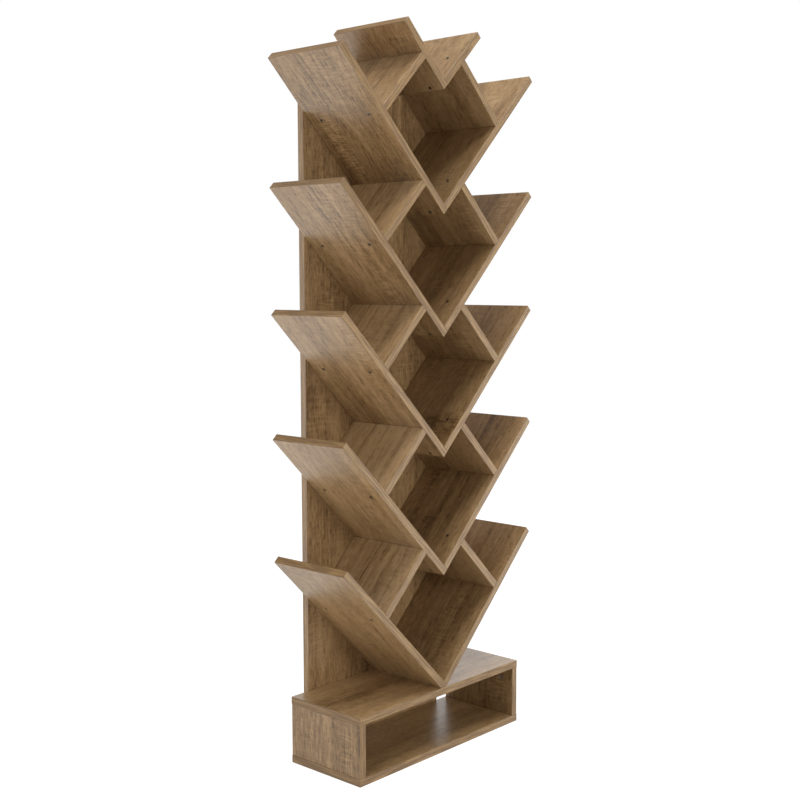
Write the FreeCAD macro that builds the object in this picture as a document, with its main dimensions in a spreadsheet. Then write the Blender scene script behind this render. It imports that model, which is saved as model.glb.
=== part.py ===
import FreeCAD, Part
import Sketcher
import os

from FreeCAD import Placement, Rotation, Vector

# Tree bookcase: five stacked V shapes of laminated board and a short V on top, held apart by
# short dividers and backed by a tall board, on a low base box that is open at the front.
# Millimetres. X runs to the right, Y to the back and Z up, from the middle of the footprint.

doc = FreeCAD.newDocument("tree_bookcase")

# Driving sizes
SIZES = {
    "board_thickness": 15,
    "board_chamfer": 0.4,
    "shelf_depth": 190,
    "arm_length": 405,
    "top_arm_length": 160,
    "level_pitch": 240,
    "divider_head": 75.3,
    "foot_flat": 15,
    "base_width": 490,
    "base_height": 135,
    "side_inset": 1,
    "back_width": 395,
    "back_top_rise": 32.5,
    "screw_inset": 32,
    "screw_diameter": 5,
    "screw_head": 8,
    "screw_length": 45,
    "screw_point": 0.5,
    "socket_width": 3,
    "socket_depth": 2.5,
    "small_screw_diameter": 4,
    "small_screw_head": 7,
    "back_screw_length": 38,
    "back_screw_near": 110,
    "back_screw_far": 235,
    "back_screw_rise": 12,
    "back_screw_reach": 150,
    "divider_screw_rise": 25,
    "foot_screw_length": 22,
    "foot_screw_inset": 60,
    "cross_width": 1.2,
    "cross_length": 4,
    "cross_depth": 1.6,
    "head_sink": 0.2,
    "drill_overrun": 1,
    "fit_clearance": 0.1,
    "cam_diameter": 15,
    "cam_height": 12.5,
    "cam_drop": 25,
    "cam_cross_length": 9,
    "cam_mouth": 8,
    "bolt_diameter": 5,
    "bolt_thread_diameter": 6,
    "bolt_thread_length": 10,
    "bolt_head_diameter": 7,
    "bolt_head_height": 3,
    "dowel_diameter": 8,
    "dowel_length": 30,
    "dowel_chamfer": 1,
    "dowel_bite": 10,
    "back_dowel_reach": 100,
}

# The boards of a V meet square, and so lean the same way to both sides
LEVELS = 5
LEAN = 45
SOCKET_SIDES = 6
BACK_BOARDS = ("back_board_lower", "back_board_middle", "back_board_upper")

sheet = doc.addObject("Spreadsheet::Sheet", "Sizes")
for row, (alias, number) in enumerate(SIZES.items(), start=1):
    sheet.set(f"A{row}", alias.replace("_", " "))
    sheet.set(f"B{row}", str(number))
    sheet.setAlias(f"B{row}", alias)
doc.recompute()

# Formulas over the driving sizes
thick = "Sizes.board_thickness"
depth = "Sizes.shelf_depth"
base_width = "Sizes.base_width"
base_height = "Sizes.base_height"
back_width = "Sizes.back_width"
inset = "Sizes.screw_inset"
sink = "Sizes.head_sink"
overrun = "Sizes.drill_overrun"
twice_slack = "2 * Sizes.fit_clearance"
lean = f"cos({LEAN})"
half_thick = f"{thick} / 2"
front = f"-({depth} + {thick}) / 2"
row_gap = f"Sizes.level_pitch * {lean}"
reach = f"(Sizes.divider_head + {row_gap})"
side_height = f"{base_height} - 2 * {thick}"
side_middle = f"Sizes.side_inset + {half_thick}"
divider_middle = f"{reach} + {half_thick}"
divider_top = f"{divider_middle} - {row_gap}"
divider_screw = f"{thick} + Sizes.divider_screw_rise"
point_screw = f"Sizes.back_screw_rise * {lean}"
flat_leg = f"Sizes.foot_flat * {lean}"
rows = [inset, f"{depth} - {inset}"]
foot_rows = ["Sizes.foot_screw_inset", f"{depth} - Sizes.foot_screw_inset"]
screw_hole = f"Sizes.screw_diameter + {twice_slack}"
small_hole = f"Sizes.small_screw_diameter + {twice_slack}"
dowel_hole = f"Sizes.dowel_diameter + {twice_slack}"
screw_bite = f"Sizes.screw_length - {thick} + {overrun}"
back_bite = f"Sizes.back_screw_length - {thick} + {overrun}"

UP = Vector(0, 0, 1)
ACROSS = Vector(0, 1, 0)


def from_point(level, left, right):
    """A place so far up to the left and so far up to the right of the point of a V."""
    point = f"{base_height} - Sizes.foot_flat / 2 + Sizes.level_pitch * {level - 1}"
    return [f"({right} - ({left})) * {lean}", front, f"{point} + ({left} + {right}) * {lean}"]


def draw_outline(sketch, corners):
    """A closed outline whose corners lie at the given places from the sketch's origin."""
    count = len(corners)
    for index in range(count):
        start, end = Vector(index, index ** 2), Vector(index + 1, (index + 1) ** 2)
        sketch.addGeometry(Part.LineSegment(start, end), False)
    for index in range(count):
        sketch.addConstraint(Sketcher.Constraint("Coincident", index, 2, (index + 1) % count, 1))
    for index, corner in enumerate(corners):
        for kind, formula in zip(("DistanceX", "DistanceY"), corner):
            place = sketch.addConstraint(Sketcher.Constraint(kind, -1, 1, index, 1, 1))
            sketch.setExpression(f"Constraints[{place}]", formula)


def draw_circles(sketch, spots, diameter):
    """Circles with their middles at the given places from the sketch's origin."""
    for index, spot in enumerate(spots):
        sketch.addGeometry(Part.Circle(Vector(index, index), UP, 1), False)
        for kind, formula in zip(("DistanceX", "DistanceY"), spot):
            place = sketch.addConstraint(Sketcher.Constraint(kind, -1, 1, index, 3, 1))
            sketch.setExpression(f"Constraints[{place}]", formula)
        place = sketch.addConstraint(Sketcher.Constraint("Diameter", index, 2))
        sketch.setExpression(f"Constraints[{place}]", diameter)


class Board:
    """A board with softened edges: X along its length, Y along its width, Z through it."""

    def __init__(self, label, length, width, corner, axis, turn):
        self.label, self.length = label, length
        self.body = doc.addObject("PartDesign::Body", label)
        self.body.Placement = Placement(Vector(), Rotation(axis, turn))
        for name, formula in zip("xyz", corner):
            self.body.setExpression(f"Placement.Base.{name}", formula)
        self.faces = {
            "under": ("XY_Plane", "0", True),
            "upper": ("XY_Plane", thick, False),
            "start": ("YZ_Plane", "0", True),
            "end": ("YZ_Plane", length, False),
            "front": ("XZ_Plane", "0", False),
            "rear": ("XZ_Plane", f"-({width})", True),
        }
        outline, _ = self.sketch("outline", "under")
        draw_outline(outline, [("0", "0"), (length, "0"), (length, width), ("0", width)])
        pad = self.feature("Pad", "board", outline)
        pad.setExpression("Length", thick)
        doc.recompute()
        edges = self.body.newObject("PartDesign::Chamfer", f"{label}_edges")
        edges.Base = (pad, ["Face1"])
        edges.UseAllEdges = True
        edges.setExpression("Size", "Sizes.board_chamfer")
        doc.recompute()

    def sketch(self, name, face):
        """A sketch on one face, and whether the wood lies ahead of the sketch."""
        role, offset, ahead = self.faces[face]
        planes = {plane.Role: plane for plane in self.body.Origin.OriginFeatures}
        sketch = self.body.newObject("Sketcher::SketchObject", f"{self.label}_{name}")
        sketch.AttachmentSupport = [(planes[role], "")]
        sketch.MapMode = "FlatFace"
        sketch.setExpression("AttachmentOffset.Base.z", offset)
        return sketch, ahead

    def feature(self, kind, name, sketch):
        feature = self.body.newObject(f"PartDesign::{kind}", f"{self.label}_{name}")
        feature.Profile = sketch
        doc.recompute()
        return feature

    def must_shrink(self, name, before):
        doc.recompute()
        if self.body.Shape.Volume >= before:
            raise ValueError(f"{self.label}: {name} cuts nothing")

    def bore(self, name, face, spots, diameter, deep):
        """Plain round holes in a face."""
        before = self.body.Shape.Volume
        sketch, ahead = self.sketch(f"{name}_spots", face)
        draw_circles(sketch, spots, diameter)
        pocket = self.feature("Pocket", name, sketch)
        pocket.Reversed = ahead
        pocket.setExpression("Length", deep)
        self.must_shrink(name, before)

    def fasten(self, name, face, spots, kind, sunk=sink):
        """Through holes that take sunk screw heads, with a screw in each."""
        before = self.body.Shape.Volume
        sketch, ahead = self.sketch(f"{name}_spots", face)
        draw_circles(sketch, spots, kind.hole)
        hole = self.feature("Hole", name, sketch)
        hole.Reversed = ahead
        hole.DepthType = "ThroughAll"
        hole.HoleCutType = "Counterdrill"
        hole.HoleCutCountersinkAngle = 90
        hole.setExpression("Diameter", kind.hole)
        hole.setExpression("HoleCutDiameter", f"{kind.head} + {twice_slack}")
        hole.setExpression("HoleCutDepth", sunk)
        self.must_shrink(name, before)
        for spot in spots:
            self.insert(name, face, spot, sunk, kind.solid)

    def insert(self, group, face, spot, sunk, solid):
        """A fastener sunk into one face of the board and turned to point into it."""
        x, y, z, axis, turn = {
            "under": (*spot, sunk, "1; 0; 0", 0),
            "upper": (*spot, f"{thick} - ({sunk})", "1; 0; 0", 180),
            "start": (sunk, *spot, "0; 1; 0", 90),
        }[face]
        link = doc.addObject("App::Link", f"{group}_{len(groups.setdefault(group, [])) + 1}")
        link.LinkedObject = solid
        place = f"placement(vector({x}; {y}; {z}); rotation(vector({axis}); {turn}))"
        link.setExpression("Placement", f"{self.body.Name}.Placement * {place}")
        groups[group].append(link)


def primitive(kind, label, height, formulas):
    solid = doc.addObject(f"Part::{kind}", label)
    for name, formula in formulas.items():
        solid.setExpression(name, formula)
    solid.setExpression("Placement.Base.z", height)
    return solid


def fuse(label, shapes):
    fused = doc.addObject("Part::MultiFuse", label)
    fused.Shapes = shapes
    return fused


def cut(label, base, tool):
    left = doc.addObject("Part::Cut", label)
    left.Base, left.Tool = base, tool
    return left


def cross(label, length, width, deep):
    """Two crossing slots, sunk from the ground plane upwards."""
    arms = []
    for name, along, beside in (("long", length, width), ("wide", width, length)):
        sizes = {"Length": along, "Width": beside, "Height": deep}
        slot = primitive("Box", f"{label}_{name}", "0", sizes)
        slot.setExpression("Placement.Base.x", f"-({along}) / 2")
        slot.setExpression("Placement.Base.y", f"-({beside}) / 2")
        arms.append(slot)
    return fuse(label, arms)


class Screw:
    """A screw with a sunk head, head down, its drive cut by the given tool."""

    def __init__(self, label, diameter, head, length, tool):
        self.head, self.hole = head, f"{diameter} + {twice_slack}"
        neck = f"({head} - {diameter}) / 2"
        radius = f"{diameter} / 2"
        tip = f"{length} - {diameter}"
        cone = {"Radius1": f"{head} / 2", "Radius2": radius, "Height": neck}
        shank = {"Radius": radius, "Height": f"{tip} - {neck}"}
        end = {"Radius1": radius, "Radius2": "Sizes.screw_point / 2", "Height": diameter}
        self.solid = cut(label, fuse(f"{label}_blank", [
            primitive("Cone", f"{label}_head", "0", cone),
            primitive("Cylinder", f"{label}_shank", neck, shank),
            primitive("Cone", f"{label}_tip", tip, end),
        ]), tool)


groups = {}

# Fasteners: hexagon socket screws, cross slot screws, cam locks with their bolts, and dowels
socket = primitive("Prism", "socket", "0", {
    "Circumradius": f"Sizes.socket_width / 2 / cos(180 / {SOCKET_SIDES})",
    "Height": "Sizes.socket_depth"})
socket.Polygon = SOCKET_SIDES
small_cross = cross("small_cross", "Sizes.cross_length", "Sizes.cross_width", "Sizes.cross_depth")
foot_cross = cross("foot_cross", "Sizes.cross_length", "Sizes.cross_width", "Sizes.cross_depth")
cam_cross = cross("cam_cross", "Sizes.cam_cross_length", "Sizes.cross_width", "Sizes.cross_depth")

socket_screw = Screw("socket_screw", "Sizes.screw_diameter", "Sizes.screw_head",
                     "Sizes.screw_length", socket)
back_screw = Screw("back_screw", "Sizes.small_screw_diameter", "Sizes.small_screw_head",
                   "Sizes.back_screw_length", small_cross)
foot_screw = Screw("foot_screw", "Sizes.small_screw_diameter", "Sizes.small_screw_head",
                   "Sizes.foot_screw_length", foot_cross)

mouth = primitive("Cylinder", "cam_mouth", f"{half_thick} - {sink}", {
    "Radius": "Sizes.cam_mouth / 2", "Height": "Sizes.cam_diameter"})
mouth.Placement.Rotation = Rotation(ACROSS, 90)
mouth.setExpression("Placement.Base.x", "-Sizes.cam_mouth / 2")
drum = primitive("Cylinder", "cam_drum", "0", {
    "Radius": "Sizes.cam_diameter / 2", "Height": f"Sizes.cam_height - {sink}"})
cam = cut("cam", drum, fuse("cam_hollows", [mouth, cam_cross]))

bolt_drop = "Sizes.cam_drop + Sizes.bolt_head_height / 2"
bolt = fuse("bolt", [
    primitive("Cylinder", "bolt_thread", "0", {
        "Radius": "Sizes.bolt_thread_diameter / 2", "Height": "Sizes.bolt_thread_length"}),
    primitive("Cylinder", "bolt_stem", f"-({bolt_drop})", {
        "Radius": "Sizes.bolt_diameter / 2", "Height": bolt_drop}),
    primitive("Cylinder", "bolt_head", f"-({bolt_drop})", {
        "Radius": "Sizes.bolt_head_diameter / 2", "Height": "Sizes.bolt_head_height"}),
])

dowel_middle = "Sizes.dowel_length - 2 * Sizes.dowel_chamfer"
narrow = "Sizes.dowel_diameter / 2 - Sizes.dowel_chamfer"
wide = "Sizes.dowel_diameter / 2"
dowel = fuse("dowel", [
    primitive("Cone", "dowel_start", "0", {
        "Radius1": narrow, "Radius2": wide, "Height": "Sizes.dowel_chamfer"}),
    primitive("Cylinder", "dowel_pin", "Sizes.dowel_chamfer", {
        "Radius": wide, "Height": dowel_middle}),
    primitive("Cone", "dowel_end", "Sizes.dowel_length - Sizes.dowel_chamfer", {
        "Radius1": wide, "Radius2": narrow, "Height": "Sizes.dowel_chamfer"}),
])

boards = []

# The V shapes: each left arm runs through to the point and each right arm butts on it
for level in range(1, LEVELS + 2):
    topmost = level > LEVELS
    name = "top" if topmost else str(level)
    length = "Sizes.top_arm_length" if topmost else "Sizes.arm_length"
    point_sink = half_thick if level == 1 else sink

    left = Board(f"left_arm_{name}", length, depth, from_point(level, length, "0"), ACROSS, LEAN)
    right = Board(f"right_arm_{name}", f"{length} - {thick}", depth,
                  from_point(level, "0", thick), ACROSS, -LEAN)
    boards += [left, right]

    left.fasten("point_screws", "under", [(f"{length} - {half_thick}", row) for row in rows],
                socket_screw, point_sink)
    right.bore("point_pilots", "start", [(row, half_thick) for row in rows], screw_hole,
               f"{screw_bite} + {point_sink}")
    left.bore("point_back_pilot", "rear", [(f"{length} - {point_screw}", point_screw)],
              small_hole, back_bite)

    for arm, along in ((left, lambda reached: f"{length} - ({reached})"),
                       (right, lambda reached: f"{reached} - {thick}")):
        if not topmost:
            arm.fasten("divider_foot_screws", "under",
                       [(along(divider_middle), row) for row in rows], socket_screw)
            spots = [(along(far), half_thick)
                     for far in ("Sizes.back_screw_near", "Sizes.back_screw_far")]
            arm.bore("back_pilots", "rear", spots, small_hole, back_bite)
        if level > 1:
            arm.fasten("divider_top_screws", "upper",
                       [(along(divider_top), row) for row in rows], socket_screw)

# The lowest point is cut flat to stand on the base, and takes screws from below
stand = boards[0]
before = stand.body.Shape.Volume
corner, _ = stand.sketch("flat_outline", "front")
draw_outline(corner, [(stand.length, "0"), (stand.length, flat_leg),
                      (f"{stand.length} - {flat_leg}", "0")])
flat = stand.feature("Pocket", "flat", corner)
flat.Type = "ThroughAll"
stand.must_shrink("flat", before)

before = stand.body.Shape.Volume
spots, _ = stand.sketch("foot_spots", "under")
spots.AttachmentOffset = Placement(Vector(), Rotation(ACROSS, -LEAN))
spots.setExpression("AttachmentOffset.Base.x", f"{stand.length} - {flat_leg}")
draw_circles(spots, [("Sizes.foot_flat / 2", row) for row in foot_rows], small_hole)
pilots = stand.feature("Pocket", "foot_pilots", spots)
pilots.Reversed = True
pilots.setExpression("Length", f"Sizes.foot_screw_length - {thick} + {overrun}")
stand.must_shrink("foot_pilots", before)

# The dividers stand square on one arm and carry the arm above
for level in range(1, LEVELS + 1):
    corners = {
        "left": (from_point(level, reach, thick), -LEAN, "Sizes.divider_screw_rise"),
        "right": (from_point(level, row_gap, reach), LEAN, f"{row_gap} - ({divider_screw})"),
    }
    for side, (corner, turn, screw_place) in corners.items():
        divider = Board(f"{side}_divider_{level}", f"{row_gap} - {thick}", depth, corner,
                        ACROSS, turn)
        boards.append(divider)
        for end in ("start", "end"):
            divider.bore(f"{end}_pilots", end, [(row, half_thick) for row in rows], screw_hole,
                         f"{screw_bite} + {sink}")
        divider.bore("back_pilot", "rear", [(screw_place, half_thick)], small_hole, back_bite)

# The base box: top and bottom run over the two sides
left_edge = f"-{base_width} / 2"
bottom = Board("base_bottom", base_width, depth, [left_edge, front, "0"], ACROSS, 0)
top = Board("base_top", base_width, depth, [left_edge, front, f"{base_height} - {thick}"],
            ACROSS, 0)
ends = [side_middle, f"{base_width} - ({side_middle})"]
end_rows = [(end, row) for end in ends for row in rows]
bottom.fasten("base_screws", "under", end_rows, socket_screw)
top.bore("bolt_holes", "under", end_rows, f"Sizes.bolt_thread_diameter + {twice_slack}",
         f"Sizes.bolt_thread_length + {overrun}")
for spot in end_rows:
    top.insert("cam_bolts", "under", spot, "0", bolt)
dowel_spots = [(end, f"{depth} / 2") for end in ends]
top.bore("dowel_holes", "under", dowel_spots, dowel_hole, f"Sizes.dowel_bite + {overrun}")
for spot in dowel_spots:
    top.insert("base_dowels", "under", spot, "Sizes.dowel_bite - Sizes.dowel_length", dowel)
top.fasten("foot_screws", "under", [(f"{base_width} / 2", row) for row in foot_rows],
           foot_screw)
for panel in (bottom, top):
    spots = [(f"{base_width} / 2 {sign} Sizes.back_screw_reach", half_thick) for sign in "-+"]
    panel.bore("back_pilots", "rear", spots, small_hole, back_bite)
boards += [bottom, top]

sides = {"left": (f"{left_edge} + Sizes.side_inset + {thick}", "under"),
         "right": (f"{base_width} / 2 - Sizes.side_inset", "upper")}
for side, (inner, face) in sides.items():
    panel = Board(f"base_{side}_side", side_height, depth, [inner, front, thick], ACROSS, -90)
    boards.append(panel)
    panel.bore("bottom_pilots", "start", [(row, half_thick) for row in rows], screw_hole,
               f"{screw_bite} + {sink}")
    panel.bore("bolt_tunnels", "end", [(row, half_thick) for row in rows], "Sizes.cam_mouth",
               "Sizes.cam_drop")
    panel.bore("dowel_hole", "end", [(f"{depth} / 2", half_thick)], dowel_hole,
               f"Sizes.dowel_length - Sizes.dowel_bite + {overrun}")
    cam_spots = [(f"{side_height} - Sizes.cam_drop", row) for row in rows]
    panel.bore("cam_pockets", face, cam_spots, f"Sizes.cam_diameter + {twice_slack}",
               f"Sizes.cam_height + {overrun} / 2")
    for spot in cam_spots:
        panel.insert("cam_locks", face, spot, sink, cam)

# The back board is cut in three at the points of every second V, pinned end to end, and
# screwed to every board in front of it
joints = ["0"] + [from_point(2 * count, "0", "0")[2] for count in range(1, len(BACK_BOARDS) + 1)]
joints[-1] += " + Sizes.back_top_rise"
uppermost = len(BACK_BOARDS) - 1
places = {section: [] for section in range(len(BACK_BOARDS))}
for height in (half_thick, f"{base_height} - {half_thick}"):
    places[0] += [(f"{sign}Sizes.back_screw_reach", height) for sign in ("-", "")]
for level in range(1, LEVELS + 2):
    x, _, z = from_point(level, point_screw, point_screw)
    places[min(level // 2, uppermost)].append((x, z))
for level in range(1, LEVELS + 1):
    for far, off in (("Sizes.back_screw_near", half_thick), ("Sizes.back_screw_far", half_thick),
                     (divider_middle, divider_screw)):
        for left_way, right_way in ((far, off), (off, far)):
            x, _, z = from_point(level, left_way, right_way)
            places[level // 2].append((x, z))

for section, name in enumerate(BACK_BOARDS):
    below, above = joints[section], joints[section + 1]
    back = Board(name, f"{above} - ({below})", back_width,
                 [f"-{back_width} / 2", f"{front} + {depth}", below], Vector(1, 1, 1), -120)
    boards.append(back)
    spots = [(f"{z} - ({below})", f"{back_width} / 2 + {x}") for x, z in places[section]]
    back.fasten("back_screws", "upper", spots, back_screw)
    pins = [(f"{back_width} / 2 {sign} Sizes.back_dowel_reach", half_thick) for sign in "-+"]
    for end, joined in (("start", section > 0), ("end", section < uppermost)):
        if joined:
            back.bore(f"{end}_dowel_holes", end, pins, dowel_hole,
                      f"(Sizes.dowel_length + {overrun}) / 2")
        if joined and end == "start":
            for pin in pins:
                back.insert("back_dowels", end, pin, "-Sizes.dowel_length / 2", dowel)

parts = [board.body for board in boards]
for name, links in groups.items():
    group = doc.addObject("Part::Compound", name)
    group.Links = links
    parts.append(group)
doc.recompute()

for item in doc.Objects:
    if "Invalid" in item.State or "Error" in item.State:
        raise ValueError(f"{item.Label} did not rebuild")
for part in parts:
    if part.Shape.isNull() or not part.Shape.isValid():
        raise ValueError(f"{part.Label} has no valid shape")

os.makedirs("parts", exist_ok=True)
for part in parts:
    part.Shape.exportStep(f"parts/{part.Label}.step")
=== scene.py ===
import math
import random

import bpy
from mathutils import Matrix, Vector


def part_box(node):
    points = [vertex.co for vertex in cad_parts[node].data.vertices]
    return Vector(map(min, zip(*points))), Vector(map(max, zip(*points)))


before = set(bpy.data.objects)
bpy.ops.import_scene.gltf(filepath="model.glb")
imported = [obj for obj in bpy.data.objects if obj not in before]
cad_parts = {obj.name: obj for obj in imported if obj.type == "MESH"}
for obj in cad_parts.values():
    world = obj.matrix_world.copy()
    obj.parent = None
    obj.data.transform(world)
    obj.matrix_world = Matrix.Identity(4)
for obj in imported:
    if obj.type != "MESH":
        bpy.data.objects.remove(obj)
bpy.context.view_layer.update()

# ---- Base box
# Four panels of 15 mm particle board, with a sawn oak print on both faces and a tan band glued
# to every edge. The bottom and top panels run over the two sides. The front stays open, and the
# back board closes most of the back.
BOARD_THICK = 0.015
SHELF_DEPTH = 0.190
BAND_THICK = 0.0008
PRINT_THICK = 0.0006
OAK_DARK = (0.112, 0.060, 0.022)
OAK_MIDDLE = (0.275, 0.167, 0.074)
OAK_LIGHT = (0.435, 0.285, 0.144)
BAND_DARK, BAND_LIGHT = (0.171, 0.094, 0.033), (0.308, 0.185, 0.069)
CORE_DARK, CORE_LIGHT = (0.260, 0.180, 0.100), (0.560, 0.430, 0.270)


class Tone:
    """A value that changes over a surface, so that a finish reads as sums and products."""

    def __init__(self, finish, socket):
        self.finish, self.socket = finish, socket

    def out(self, name):
        """Another output of the same node."""
        return Tone(self.finish, self.socket.node.outputs[name])

    def maths(self, operation, *others):
        """A Math node with this value first."""
        return self.finish.add("ShaderNodeMath", {"operation": operation}, [self, *others])

    def __add__(self, other):
        return self.maths("ADD", other)

    def __sub__(self, other):
        return self.maths("SUBTRACT", other)

    def __rsub__(self, other):
        return self.finish.add("ShaderNodeMath", {"operation": "SUBTRACT"}, [other, self])

    def __mul__(self, other):
        return self.maths("MULTIPLY", other)

    def __gt__(self, other):
        return self.maths("GREATER_THAN", other)

    def __lt__(self, other):
        return self.maths("LESS_THAN", other)

    __radd__, __rmul__ = __add__, __mul__


class Finish:
    """The nodes of one material or of the world. Every node comes from add."""

    def __init__(self, owner):
        self.owner = owner
        owner.use_nodes = True
        self.tree = owner.node_tree
        self.tree.nodes.clear()

    def add(self, kind, settings=None, sockets=()):
        """A node of this type: first its settings, then the values and links of its sockets."""
        node = self.tree.nodes.new(kind)
        for name, value in (settings or {}).items():
            if name == "stops":
                ramp = node.color_ramp
                while len(ramp.elements) < len(value):
                    ramp.elements.new(1)
                for stop, (place, colour) in zip(ramp.elements, value):
                    stop.position, stop.color = place, (*colour, 1)
            else:
                setattr(node, name, value)
        named = sockets.items() if isinstance(sockets, dict) else enumerate(sockets)
        for name, value in named:
            if isinstance(value, Tone):
                self.tree.links.new(value.socket, node.inputs[name])
            else:
                node.inputs[name].default_value = value
        return Tone(self, node.outputs[0]) if node.outputs else None

    def axes(self, vector):
        """The three parts of a vector."""
        split = self.add("ShaderNodeSeparateXYZ", None, [vector])
        return [split.out(axis) for axis in "XYZ"]

    def mix(self, share, first, second):
        """Two colours mixed by a share that changes over the surface."""
        first, second = ((*c, 1) if isinstance(c, tuple) else c for c in (first, second))
        mixed = self.add("ShaderNodeMix", {"data_type": "RGBA"}, {0: share, 6: first, 7: second})
        return mixed.out(2)

    def noise(self, vector, stretch, seed, detail=2.0, roughness=0.5):
        """Noise from 0 to 1, with so many waves to the metre along each axis."""
        moved = self.add("ShaderNodeMapping", {"vector_type": "POINT"}, {
            "Vector": vector, "Scale": stretch, "Location": (seed, 0.7 * seed, 0.3 * seed)})
        return self.add("ShaderNodeTexNoise", {"noise_dimensions": "3D"}, {
            "Vector": moved, "Scale": 1.0, "Detail": detail, "Roughness": roughness})

    def rise(self, value, low, high):
        """A smooth rise from 0 to 1 between two values."""
        return self.add("ShaderNodeMapRange", {"interpolation_type": "SMOOTHSTEP"},
                        [value, low, high, 0.0, 1.0])

    def surface(self, sockets):
        """Ends a material with its shader, and gives the material."""
        shader = self.add("ShaderNodeBsdfPrincipled", None, sockets)
        self.add("ShaderNodeOutputMaterial", None, {"Surface": shader})
        return self.owner


# The layers of the print, in waves to the metre along the grain and across it. The third number
# leads from one sheet of print to the next.
BROAD_WAVES = (1.6, 16.0, 1.0)
RING_WAVES = (5.0, 55.0, 1.0)
STREAK_WAVES = (13.0, 140.0, 1.0)
THREAD_WAVES = (52.0, 250.0, 1.0)
PORE_WAVES = (65.0, 230.0, 1.0)
SWELL_WAVES = (2.2, 13.0, 1.0)
PATCH_WAVES = (6.0, 14.0, 1.0)
MARK_WAVES = (230.0, 34.0, 1.0)
CRACK_WAVES = (170.0, 40.0, 1.0)
WANDER_WAVES, WANDER_REACH = (5.0, 9.0, 1.0), 0.014
STRIPS_TO_A_METRE = 19.0
# How far apart in the pattern the strips and the two faces of a board are taken
STRIP_APART, FACE_APART, FACE_STRIPS_APART = 37.0, 3.7, 7.3
FLAME_LINES = 16.0
MIDDLE_TONE = 0.51
# The grain of the edge band along a board and over its ends, and the chips of the core
BAND_WAVES, BAND_END_WAVES = (16.0, 90.0, 260.0), (90.0, 16.0, 260.0)
CHIP_WAVES = (420.0, 420.0, 420.0)
# Painted shade on the end bands, which are the same band as the long edges
END_PAINTED_SHADE = 0.35
RELIEF_DEPTH = 0.00025


def near_spot(oak, along, across, spot):
    """From 0 to 1 towards the middle of an oval spot: its place and reach along and across."""
    spot_along, spot_across, reach_along, reach_across = spot
    far_along = ((along - spot_along) * (1 / reach_along)).maths("POWER", 2.0)
    far_across = ((across - spot_across) * (1 / reach_across)).maths("POWER", 2.0)
    return 1 - oak.rise(far_along + far_across, 0.1, 1.0)


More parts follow.
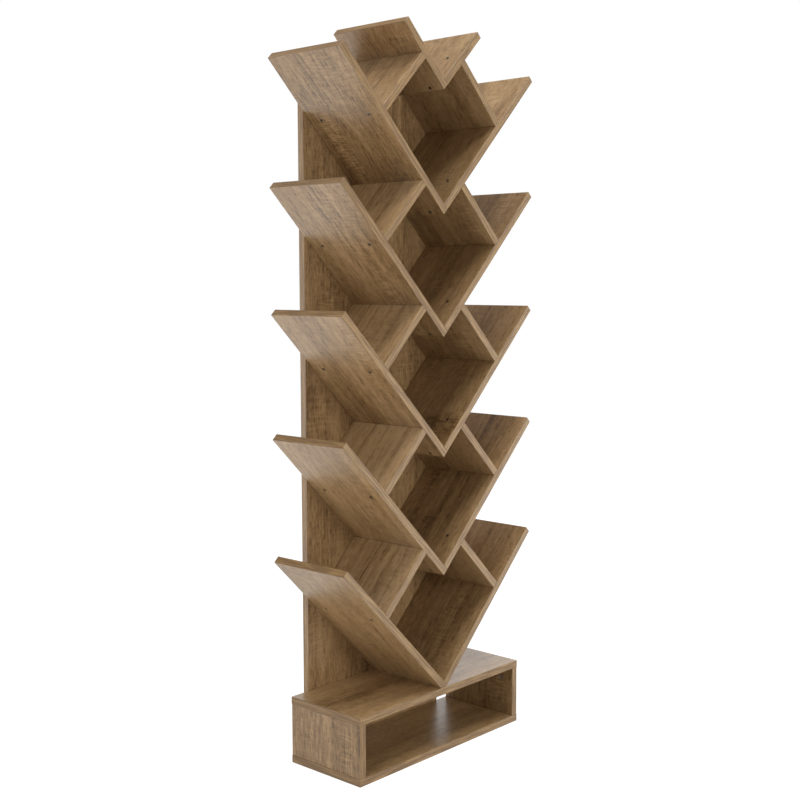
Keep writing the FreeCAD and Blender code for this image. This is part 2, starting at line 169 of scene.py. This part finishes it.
def sawn_oak(name, corner, turn, length, width, seed, painted_shading, knots, lines, sawn):
    """The finish of one board, from its own corner: X along the grain, Y across, Z through."""
    oak = Finish(bpy.data.materials.new(name))
    place = oak.add("ShaderNodeTexCoord").out("Object")
    board = oak.add("ShaderNodeMapping", {"vector_type": "TEXTURE"},
                    {"Vector": place, "Location": corner, "Rotation": turn})
    along, across, through = oak.axes(board)
    upper = through > BOARD_THICK / 2

    # The print is laid out in strips along the grain, each with its own tone and figure
    strip = oak.add("ShaderNodeTexVoronoi", {"voronoi_dimensions": "1D"}, {
        "W": across * STRIPS_TO_A_METRE + upper * FACE_STRIPS_APART + seed, "Scale": 1.0})
    picked = oak.add("ShaderNodeSeparateColor", None, [strip.out("Color")])
    strip_tone, strip_shift, strip_kind = (picked.out(c) for c in ("Red", "Green", "Blue"))
    drift = oak.noise(board, WANDER_WAVES, seed + 73, 1.0) - 0.5
    wander = across + drift * WANDER_REACH
    sheet = oak.add("ShaderNodeCombineXYZ", None,
                    [along, wander, strip_shift * STRIP_APART + upper * FACE_APART + seed])
    wide_sheet = oak.add("ShaderNodeCombineXYZ", None,
                         [along, wander, upper * FACE_APART + seed])

    broad = oak.noise(wide_sheet, BROAD_WAVES, seed, 1.0)
    ring = oak.noise(wide_sheet, RING_WAVES, seed + 5, 3.0, 0.65)
    streak = oak.noise(sheet, STREAK_WAVES, seed + 11, 3.0, 0.65)
    thread = oak.noise(sheet, THREAD_WAVES, seed + 17, 2.0)
    pore = oak.rise(oak.noise(sheet, PORE_WAVES, seed + 23, 2.0), 0.54, 0.70)

    # Flame figure: level lines of a slow swell, as a saw leaves them in the growth rings
    swell = oak.noise(sheet, SWELL_WAVES, seed + 31, 1.0)
    flame = (swell * FLAME_LINES).maths("PINGPONG", 1.0)
    flame = (flame - 0.5) * oak.rise(strip_kind, 0.45, 0.75)

    # Saw marks: short lines straight across the grain, in patches
    patch = oak.rise(oak.noise(wide_sheet, PATCH_WAVES, seed + 41, 2.0), 0.50, 0.66) * 0.7
    for spot in sawn:
        patch = patch + near_spot(oak, along, across, spot) * 1.3
    mark = oak.rise(oak.noise(wide_sheet, MARK_WAVES, seed + 53, 1.0), 0.38, 0.66) - 0.3

    # Painted light and shade: the board's whole tone is raised or lowered for how light falls on
    # it
    tone = MIDDLE_TONE + painted_shading
    for layer, share in ((strip_tone, 0.14), (broad, 0.42), (ring, 0.56), (streak, 0.40),
                         (thread, 0.66)):
        tone = tone + (layer - 0.5) * share
    tone = tone + flame * 0.16 - (pore - 0.2) * 0.22 + mark * patch * 0.13 + mark * 0.06

    # Single lines along the grain, lighter or darker than the wood beside them
    for line_across, line_width, change in lines:
        off = (wander - line_across).maths("ABSOLUTE")
        tone = tone + (1 - oak.rise(off, 0.2 * line_width, line_width)) * change

    # Knots: dark cracks that run across the grain round one spot
    for *spot, depth in knots:
        crack = oak.rise(oak.noise(wide_sheet, CRACK_WAVES, seed + 67, 2.0), 0.48, 0.66)
        tone = tone - near_spot(oak, along, across, spot) * (crack * 0.14 + 0.09) * depth

    wood = oak.add("ShaderNodeValToRGB", {"stops": [
        (0.14, OAK_DARK), (0.5, OAK_MIDDLE), (0.9, OAK_LIGHT)]}, [tone])

    # Bands on all four edges, with painted shade on the two ends and on boards with dark painted
    # shading
    end = (along < BAND_THICK) + (along > length - BAND_THICK)
    edge = end + (across < BAND_THICK) + (across > width - BAND_THICK)
    edge = edge.maths("MINIMUM", 1.0)
    long_grain = oak.noise(board, BAND_WAVES, seed + 61, 3.0, 0.6)
    end_grain = oak.noise(board, BAND_END_WAVES, seed + 61, 3.0, 0.6)
    grain = long_grain * (1 - end) + end_grain * end
    # Painted shade: bands of boards with dark painted shading are darkened too
    band_tone = oak.rise(grain, 0.35, 0.66) - end * END_PAINTED_SHADE + min(painted_shading, 0.0) * 2
    band = oak.mix(band_tone, BAND_DARK, BAND_LIGHT)

    # Chipboard in the walls of the drilled holes
    chip = oak.noise(board, CHIP_WAVES, seed + 71, 2.0)
    core = oak.mix(oak.rise(chip, 0.35, 0.65), CORE_DARK, CORE_LIGHT)
    inside = (through > PRINT_THICK).maths("MULTIPLY", through < BOARD_THICK - PRINT_THICK)
    colour = oak.mix(edge, oak.mix(inside, wood, core), band)

    printed = 1 - edge
    relief = oak.add("ShaderNodeBump", None, {
        "Strength": 0.11, "Distance": RELIEF_DEPTH,
        "Height": (streak * 0.4 + thread * 0.3 - pore * 0.5 + mark * patch * 0.15) * printed
        + grain * edge * 0.4})
    return oak.surface({"Base Color": colour, "Normal": relief, "Specular IOR Level": 0.62,
                        "Roughness": 0.26 + (streak * 0.10 + inside * 0.3) * printed})


chance = random.Random(7)


def dress(node, corner, turn, length, width=SHELF_DEPTH, painted_shading=0.0, knots=(), lines=(), sawn=()):
    """Gives a board its finish, with its painted light and shade and the knots, lines and saw
    marks of its own print.
    """
    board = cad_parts[node]
    finish = sawn_oak(f"sawn_oak_{node}", corner, turn, length, width,
                      round(chance.uniform(0, 60), 2), painted_shading, knots, lines, sawn)
    board.data.materials.clear()
    board.data.materials.append(finish)


# The prints of single boards, in metres from the corner where each starts. A knot has its place
# and reach along and across, and its depth. A line has its place across, its width and its
# change of tone. A patch of saw marks has its place and reach. The painted shading makes the whole
# board paler or darker: painted light and shade for how light falls on that board.
BOTTOM_PAINTED_SHADING, TOP_PAINTED_SHADING = 0.08, 0.11
SIDE_PAINTED_SHADING = {"base_left_side": -0.09, "base_right_side": -0.02}
BOTTOM_KNOTS = [(0.060, 0.100, 0.070, 0.040, 0.7)]
TOP_KNOTS = [(0.095, 0.092, 0.055, 0.020, 0.8), (0.165, 0.110, 0.050, 0.020, 0.8),
             (0.215, 0.085, 0.040, 0.018, 0.8)]
TOP_LINES = [(0.035, 0.005, 0.06), (0.060, 0.005, -0.07), (0.078, 0.006, -0.08),
             (0.100, 0.007, -0.09), (0.125, 0.004, -0.07), (0.150, 0.006, 0.06),
             (0.165, 0.004, -0.07)]
SIDE_LINES = [(0.030, 0.004, -0.08), (0.075, 0.005, -0.09), (0.100, 0.007, 0.07),
              (0.125, 0.005, -0.08), (0.165, 0.004, -0.08)]
SIDE_SAWN = [(0.050, 0.040, 0.050, 0.030)]

low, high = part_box("base_bottom")
dress("base_bottom", low, (0, 0, 0), high.x - low.x, painted_shading=BOTTOM_PAINTED_SHADING, knots=BOTTOM_KNOTS)
low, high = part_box("base_top")
dress("base_top", low, (0, 0, 0), high.x - low.x, painted_shading=TOP_PAINTED_SHADING, knots=TOP_KNOTS,
      lines=TOP_LINES)
for name, painted_shading in SIDE_PAINTED_SHADING.items():
    low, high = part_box(name)
    dress(name, (high.x, low.y, low.z), (0, -math.pi / 2, 0), high.z - low.z,
          painted_shading=painted_shading, lines=SIDE_LINES, sawn=SIDE_SAWN)

# ---- V arms
# Six V shapes of the same board. The left arm runs through to the point, and the right arm
# butts on its upper face. The grain runs along each arm.
BOARD_FRONT = -0.1025
FIRST_POINT, LEVEL_PITCH = 0.1275, 0.240
LEVELS = 5
LEAN = math.pi / 4
SLOPE = math.cos(LEAN)
ARM_LENGTH, TOP_ARM_LENGTH = 0.405, 0.160


def from_point(level, left, right):
    """A place on the front, so far up the left slope and the right slope from a V's point."""
    return ((right - left) * SLOPE, BOARD_FRONT,
            FIRST_POINT + LEVEL_PITCH * (level - 1) + (left + right) * SLOPE)


# A left arm's print starts at its tip, and a right arm's at the point of the V
LEFT_LINES = {
    1: [(0.022, 0.006, -0.10), (0.060, 0.005, 0.05)],
    2: [(0.062, 0.005, 0.05), (0.098, 0.006, -0.05), (0.140, 0.008, 0.04)],
    3: [(0.020, 0.012, 0.06), (0.075, 0.010, -0.06), (0.102, 0.004, 0.15), (0.130, 0.005, -0.06)],
    4: [(0.083, 0.004, -0.10), (0.090, 0.005, 0.18), (0.122, 0.006, 0.05), (0.156, 0.004, -0.07)],
    5: [(0.030, 0.014, 0.03), (0.066, 0.014, -0.02), (0.105, 0.014, 0.05), (0.140, 0.034, 0.15),
        (0.178, 0.005, -0.07)],
}
RIGHT_LINES = {
    1: [(0.030, 0.004, -0.12), (0.050, 0.008, -0.14), (0.085, 0.003, -0.14), (0.120, 0.008, 0.12),
        (0.150, 0.004, -0.14)],
    2: [(0.040, 0.006, 0.12), (0.060, 0.003, -0.14), (0.088, 0.012, -0.20), (0.118, 0.008, 0.14),
        (0.150, 0.010, -0.16)],
    3: [(0.060, 0.006, -0.12), (0.085, 0.003, -0.10), (0.110, 0.010, 0.10), (0.140, 0.004, -0.10)],
    4: [(0.078, 0.012, -0.10), (0.120, 0.012, 0.04)],
}
# Painted light and shade on each arm, for how light falls at each level
LEFT_PAINTED_SHADING = {1: 0.03, 2: 0.04, 3: 0.00, 4: -0.08, 5: -0.12}
RIGHT_PAINTED_SHADING = {1: 0.01, 2: 0.04, 3: 0.05, 4: 0.03}
RIGHT_KNOTS = {
    1: [(0.110, 0.100, 0.060, 0.013, 1.2)],
    2: [(0.095, 0.105, 0.040, 0.020, 1.2)],
    3: [(0.045, 0.045, 0.050, 0.065, 2.6), (0.030, 0.120, 0.030, 0.030, 1.6)],
}
LEFT_SAWN = {
    3: [(0.100, 0.015, 0.120, 0.020)],
    4: [(0.300, 0.060, 0.060, 0.025)],
    5: [(0.225, 0.145, 0.130, 0.024)],
}
RIGHT_SAWN = {
    1: [(0.150, 0.070, 0.090, 0.030)],
    2: [(0.230, 0.150, 0.090, 0.025)],
    3: [(0.260, 0.140, 0.080, 0.030)],
    4: [(0.115, 0.085, 0.040, 0.022), (0.350, 0.035, 0.050, 0.035)],
    5: [(0.300, 0.060, 0.060, 0.050), (0.060, 0.050, 0.070, 0.040)],
}

for level in range(1, LEVELS + 2):
    name = "top" if level > LEVELS else str(level)
    length = TOP_ARM_LENGTH if level > LEVELS else ARM_LENGTH
    dress(f"left_arm_{name}", from_point(level, length, 0), (0, LEAN, 0), length,
          painted_shading=LEFT_PAINTED_SHADING.get(level, 0.0), lines=LEFT_LINES.get(level, ()),
          sawn=LEFT_SAWN.get(level, ()))
    dress(f"right_arm_{name}", from_point(level, 0, BOARD_THICK), (0, -LEAN, 0),
          length - BOARD_THICK, painted_shading=RIGHT_PAINTED_SHADING.get(level, 0.0),
          knots=RIGHT_KNOTS.get(level, ()), lines=RIGHT_LINES.get(level, ()),
          sawn=RIGHT_SAWN.get(level, ()))

# ---- Dividers
# Two short boards to each V, square on its arms. They carry the V above, whose arms are screwed
# down on them.
DIVIDER_TOP = LEVEL_PITCH * SLOPE
DIVIDER_LENGTH = DIVIDER_TOP - BOARD_THICK
DIVIDER_REACH = 0.245
# A left divider's print starts at its foot, and a right divider's at its top
# Painted light on the left dividers, for light that falls into them from above
DIVIDER_PAINTED_SHADING = {1: 0.14, 2: 0.31, 3: 0.20, 4: 0.17}
DIVIDER_LINES = {
    1: [(0.035, 0.005, -0.20), (0.062, 0.007, -0.16), (0.095, 0.004, 0.16), (0.108, 0.005, -0.22),
        (0.150, 0.006, -0.18)],
    2: [(0.030, 0.009, -0.26), (0.043, 0.004, 0.16), (0.085, 0.004, -0.22), (0.105, 0.004, 0.16),
        (0.125, 0.004, -0.26)],
    3: [(0.045, 0.008, -0.20), (0.078, 0.004, -0.20), (0.112, 0.005, -0.18), (0.132, 0.003, 0.36),
        (0.140, 0.005, -0.22)],
    4: [(0.050, 0.010, -0.20), (0.085, 0.004, 0.14), (0.100, 0.005, -0.24), (0.145, 0.006, -0.16)],
    5: [(0.060, 0.006, -0.16), (0.100, 0.004, 0.14), (0.120, 0.006, -0.16)],
}
DIVIDER_SAWN = {3: [(0.080, 0.060, 0.060, 0.030)], 4: [(0.060, 0.030, 0.090, 0.026)]}

for level in range(1, LEVELS + 1):
    dress(f"left_divider_{level}", from_point(level, DIVIDER_REACH, BOARD_THICK), (0, -LEAN, 0),
          DIVIDER_LENGTH, painted_shading=DIVIDER_PAINTED_SHADING.get(level, 0.0),
          lines=DIVIDER_LINES.get(level, ()))
    dress(f"right_divider_{level}", from_point(level, DIVIDER_TOP, DIVIDER_REACH), (0, LEAN, 0),
          DIVIDER_LENGTH, sawn=DIVIDER_SAWN.get(level, ()))

# ---- Back board
# Three sections of the same board, pinned end to end with dowels and screwed from behind to
# every board in front of them. The grain runs up and down.
# Turns a print so that its grain runs up, its width to the right and its thickness to the back
UPRIGHT = tuple(Matrix(((0, 1, 0), (0, 0, 1), (1, 0, 0))).to_euler())
# Painted shade on each back board section, for how light falls on it
BACK_PAINTED_SHADING = {"back_board_lower": -0.02, "back_board_middle": -0.08, "back_board_upper": -0.12}
BACK_KNOTS = {"back_board_middle": [(0.357, 0.018, 0.036, 0.022, 1.2)]}

for name, painted_shading in BACK_PAINTED_SHADING.items():
    low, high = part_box(name)
    dress(name, low, UPRIGHT, high.z - low.z, high.x - low.x, painted_shading=painted_shading,
          knots=BACK_KNOTS.get(name, ()))

# ---- Screws
# Steel screws with countersunk heads and hexagon sockets, sunk just below the print. Those in
# the back board and under the lowest V are smaller and have cross slots. All are blackened, with
# a thin coat that is unevenly dark and a little worn.
STEEL_DARK, STEEL_WORN = (0.170, 0.142, 0.114), (0.340, 0.292, 0.240)


def patchy_metal(name, dark, light, waves, roughness):
    """A plain metal, unevenly bright and rough."""
    metal = Finish(bpy.data.materials.new(name))
    place = metal.add("ShaderNodeTexCoord").out("Object")
    cloud = metal.noise(place, (waves, waves, waves), 3.0, 3.0, 0.6)
    speck = metal.noise(place, (9 * waves, 9 * waves, 9 * waves), 11.0, 1.0)
    return metal.surface({
        "Base Color": metal.mix(metal.rise(cloud + (speck - 0.5) * 0.3, 0.3, 0.75), dark, light),
        "Metallic": 1.0, "Roughness": roughness + (speck - 0.5) * 0.2})


def paint(nodes, material):
    """Gives all these groups of fastenings one finish."""
    for name in nodes:
        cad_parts[name].data.materials.clear()
        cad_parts[name].data.materials.append(material)


paint(("point_screws", "divider_foot_screws", "divider_top_screws", "base_screws",
       "back_screws", "foot_screws"),
      patchy_metal("blackened_steel", STEEL_DARK, STEEL_WORN, 260.0, 0.36))

# ---- Cam fittings
# Cast zinc discs that lie in the base sides and turn on the heads of bolts in the base top.
# The castings have a dull, faintly clouded skin.
ZINC_DARK, ZINC_LIGHT = (0.400, 0.390, 0.370), (0.660, 0.650, 0.620)
paint(("cam_locks", "cam_bolts"), patchy_metal("cast_zinc", ZINC_DARK, ZINC_LIGHT, 180.0, 0.32))

# ---- Dowels
# Turned beech pins, glued in between the base sides and top, and between the back boards.
# Beech is pale and pinkish with short dark flecks along the pin.
BEECH_PALE, BEECH_WARM = (0.560, 0.390, 0.235), (0.440, 0.280, 0.155)
BEECH_FLECK = (0.210, 0.110, 0.050)
GROWTH_WAVES, FLECK_WAVES = (380.0, 380.0, 24.0), (1500.0, 1500.0, 260.0)

beech = Finish(bpy.data.materials.new("beech"))
pin = beech.add("ShaderNodeTexCoord").out("Object")
growth = beech.noise(pin, GROWTH_WAVES, 5.0, 3.0, 0.6)
fleck = beech.rise(beech.noise(pin, FLECK_WAVES, 9.0, 1.0), 0.6, 0.72)
pale = beech.mix(beech.rise(growth, 0.3, 0.7), BEECH_WARM, BEECH_PALE)
paint(("base_dowels", "back_dowels"), beech.surface({
    "Base Color": beech.mix(fleck * 0.7, pale, BEECH_FLECK), "Roughness": 0.55 + growth * 0.2}))

# ---- Floor
# Plain white paper that takes the object's shadow. The camera sees it nearly white. Reflections
# see a painted shadow on it under the object and a painted glow, brighter than white, further off.
FLOOR_REACH = 30
PAPER, PAPER_IN_VIEW = 0.8, 0.2
SEEN_GLOW, NEAR_PAINTED_SHADOW, FAR_PAINTED_GLOW = 0.95, 0.72, 1.50
# Squares of the distances from the object between which the painted glow in reflections rises
GLOW_FROM, GLOW_TO = 0.1, 1.8


def grey(value):
    """A colour without a tint."""
    return (value, value, value)


floor = bpy.data.objects.new("floor", bpy.data.meshes.new("floor"))
corners = [(x * FLOOR_REACH, y * FLOOR_REACH, 0) for x, y in ((-1, -1), (1, -1), (1, 1), (-1, 1))]
floor.data.from_pydata(corners, [], [range(4)])
bpy.context.scene.collection.objects.link(floor)

paper = Finish(bpy.data.materials.new("white_paper"))
rays = paper.add("ShaderNodeLightPath")
seen = rays.out("Is Camera Ray").maths("MAXIMUM", rays.out("Is Glossy Ray"))
seen = seen.maths("MAXIMUM", rays.out("Is Transmission Ray"))
lit = paper.add("ShaderNodeBsdfDiffuse", None, {"Color": (*grey(PAPER), 1)})
shadowed = paper.add("ShaderNodeBsdfDiffuse", None, {"Color": (*grey(PAPER_IN_VIEW), 1)})
across, deep, _ = paper.axes(paper.add("ShaderNodeTexCoord").out("Object"))
away = across.maths("POWER", 2.0) + deep.maths("POWER", 2.0)
# Painted shadow near the object and painted glow further off, seen only in reflections
mirrored = paper.mix(paper.rise(away, GLOW_FROM, GLOW_TO), grey(NEAR_PAINTED_SHADOW), grey(FAR_PAINTED_GLOW))
white = paper.mix(rays.out("Is Camera Ray"), mirrored, grey(SEEN_GLOW))
glow = paper.add("ShaderNodeEmission", None, {"Color": white, "Strength": 1.0})
in_view = paper.add("ShaderNodeAddShader", None, [shadowed, glow])
mixed = paper.add("ShaderNodeMixShader", None, [seen, lit, in_view])
paper.add("ShaderNodeOutputMaterial", None, {"Surface": mixed})
floor.data.materials.append(paper.owner)

# ---- Light
# A white room that the camera sees at full white, and large soft lamps. Reflections see its
# walls white and its ceiling darker.
AMBIENT = 0.28
WALLS, CEILING = 1.0, 0.30
WALL_TOP, CEILING_EDGE = 0.40, 0.75

room = Finish(bpy.data.worlds.new("white_room"))
bpy.context.scene.world = room.owner
rays = room.add("ShaderNodeLightPath")
height = room.axes(room.add("ShaderNodeTexCoord").out("Generated"))[2]
walls = room.mix(room.rise(height, WALL_TOP, CEILING_EDGE), grey(WALLS), grey(CEILING))
ambient = room.add("ShaderNodeBackground", None, {"Color": (1, 1, 1, 1), "Strength": AMBIENT})
mirrored = room.add("ShaderNodeBackground", None, {"Color": walls, "Strength": 1.0})
white = room.add("ShaderNodeBackground", None, {"Color": (1, 1, 1, 1), "Strength": 1.0})
lit = room.add("ShaderNodeMixShader", None, [rays.out("Is Glossy Ray"), ambient, mirrored])
seen = rays.out("Is Camera Ray").maths("MAXIMUM", rays.out("Is Transmission Ray"))
mixed = room.add("ShaderNodeMixShader", None, [seen, lit, white])
room.add("ShaderNodeOutputWorld", None, {"Surface": mixed})

# Place, width and power of each lamp. All are aimed at the middle of the bookcase.
LAMPS = {
    "front": ((-0.1, -3.5, 1.10), 1.5, 53),
    "low_left": ((-3.3, 0.1, 0.7), 1.4, 29),
    "back_left": ((-2.8, 2.2, 0.8), 2.0, 11.5),
    "right": ((3.2, -0.4, 1.0), 2.0, 58),
    "high_left": ((-1.8, 0.0, 3.2), 1.6, 20),
    "high": ((0.0, -0.3, 3.8), 2.0, 76),
    "behind": ((2.5, 1.95, 1.05), 1.4, 3.0),
}
LAMP_AIM = Vector((0, 0, 0.7))
for name, (place, size, power) in LAMPS.items():
    lamp = bpy.data.objects.new(name, bpy.data.lights.new(name, "AREA"))
    lamp.data.shape, lamp.data.size, lamp.data.energy = "SQUARE", size, power
    lamp.location = place
    lamp.rotation_euler = (LAMP_AIM - Vector(place)).to_track_quat("-Z", "Y").to_euler()
    bpy.context.scene.collection.objects.link(lamp)

# ---- Camera
# The bookcase is seen from its left front, from a little under two thirds of its height.
CAMERA_PLACE = (-1.8810, -1.7024, 0.9623)
CAMERA_YAW, CAMERA_PITCH, CAMERA_ROLL = 0.8305, 0.0969, 0.0031
CAMERA_LENS, FILM_WIDTH = 56.14, 36
CAMERA_REACH = 50

camera = bpy.data.objects.new("camera", bpy.data.cameras.new("camera"))
camera.data.lens = CAMERA_LENS
camera.data.sensor_width = FILM_WIDTH
camera.data.clip_end = CAMERA_REACH
camera.matrix_world = (
    Matrix.Translation(CAMERA_PLACE)
    @ Matrix.Rotation(-CAMERA_YAW, 4, "Z")
    @ Matrix.Rotation(math.pi / 2 - CAMERA_PITCH, 4, "X")
    @ Matrix.Rotation(-CAMERA_ROLL, 4, "Z")
)
bpy.context.scene.collection.objects.link(camera)
bpy.context.scene.camera = camera
bpy.context.scene.view_settings.view_transform = "Standard"
